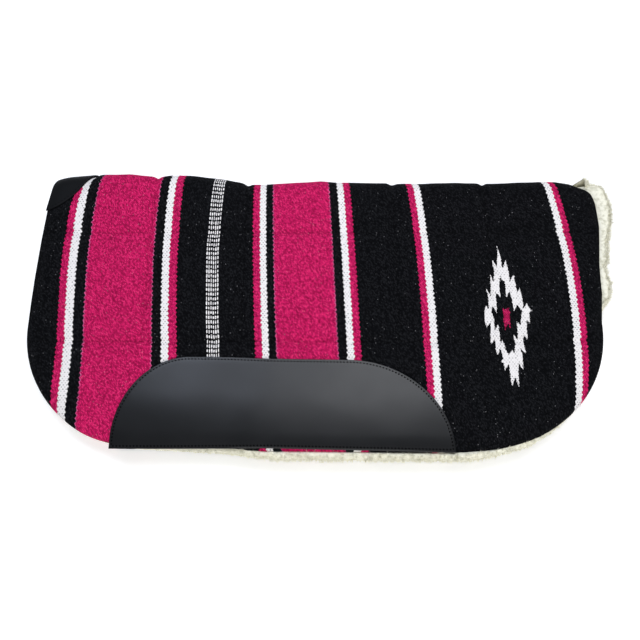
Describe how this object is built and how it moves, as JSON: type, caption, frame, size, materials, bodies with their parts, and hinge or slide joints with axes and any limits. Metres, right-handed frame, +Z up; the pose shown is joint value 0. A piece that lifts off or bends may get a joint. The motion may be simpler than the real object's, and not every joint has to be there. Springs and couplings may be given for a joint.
{
  "type": "western saddle pad",
  "caption": "Western saddle pad folded along its spine: striped woven cover, felt core, fleece lining and leather wear patches. It opens flat to lie under a saddle.",
  "frame": {"origin": "on the floor, on the off half's outer cloth face, midway between the pad's front and rear edges and midway between the crest of the fold and the lower edge of the cloth", "axes": "+X along the spine from the front edge to the rear edge, +Y from the lower edges to the fold, +Z up from the off half to the near half"},
  "size_m": [0.8353, 0.426, 0.0506],
  "materials": {
    "woven_cloth": "matte",
    "felt": "matte",
    "fleece": "matte",
    "leather": "satin",
    "black_thread": "satin",
    "edge_thread": "satin"
  },
  "bodies": {
    "off_half": {"off_woven_cover": "woven_cloth", "off_felt_core": "felt", "off_fleece_lining": "fleece", "off_wear_leather": "leather", "off_wear_leather_thread": "black_thread", "off_wither_leather": "leather", "off_wither_leather_thread": "black_thread", "off_edge_seam_thread": "edge_thread", "off_upper_quilting_thread": "black_thread", "off_lower_quilting_thread": "black_thread", "off_cross_quilting_thread_1": "black_thread", "off_cross_quilting_thread_2": "black_thread", "off_cross_quilting_thread_3": "black_thread", "off_cross_quilting_thread_4": "black_thread"},
    "spine": {"spine_woven_cover": "woven_cloth", "spine_felt_core": "felt", "spine_fleece_lining": "fleece", "spine_wither_leather": "leather", "spine_wither_leather_thread": "black_thread", "spine_front_edge_seam_thread": "edge_thread", "spine_rear_edge_seam_thread": "edge_thread", "spine_cross_quilting_thread_1": "black_thread", "spine_cross_quilting_thread_2": "black_thread", "spine_cross_quilting_thread_3": "black_thread", "spine_cross_quilting_thread_4": "black_thread"},
    "near_half": {"near_woven_cover": "woven_cloth", "near_felt_core": "felt", "near_fleece_lining": "fleece", "near_wear_leather": "leather", "near_wear_leather_thread": "black_thread", "near_wither_leather": "leather", "near_wither_leather_thread": "black_thread", "near_edge_seam_thread": "edge_thread", "near_upper_quilting_thread": "black_thread", "near_lower_quilting_thread": "black_thread", "near_cross_quilting_thread_1": "black_thread", "near_cross_quilting_thread_2": "black_thread", "near_cross_quilting_thread_3": "black_thread", "near_cross_quilting_thread_4": "black_thread"}
  },
  "joints": [
    {"name": "off_fold", "type": "hinge", "parent": "off_half", "child": "spine", "pos_m": [0, 0.20157, 0.00543], "axis": [-1, 0, 0], "range_deg": [0, 90], "deforming": ["spine_woven_cover", "spine_felt_core", "spine_fleece_lining", "spine_wither_leather", "spine_wither_leather_thread", "spine_front_edge_seam_thread", "spine_rear_edge_seam_thread", "spine_cross_quilting_thread_1", "spine_cross_quilting_thread_2", "spine_cross_quilting_thread_3", "spine_cross_quilting_thread_4"]},
    {"name": "near_fold", "type": "hinge", "parent": "spine", "child": "near_half", "pos_m": [0, 0.20157, 0.04517], "axis": [-1, 0, 0], "range_deg": [0, 90]}
  ],
  "couplings": [
    {"joint": "near_fold", "follows": "off_fold", "ratio": 1}
  ]
}
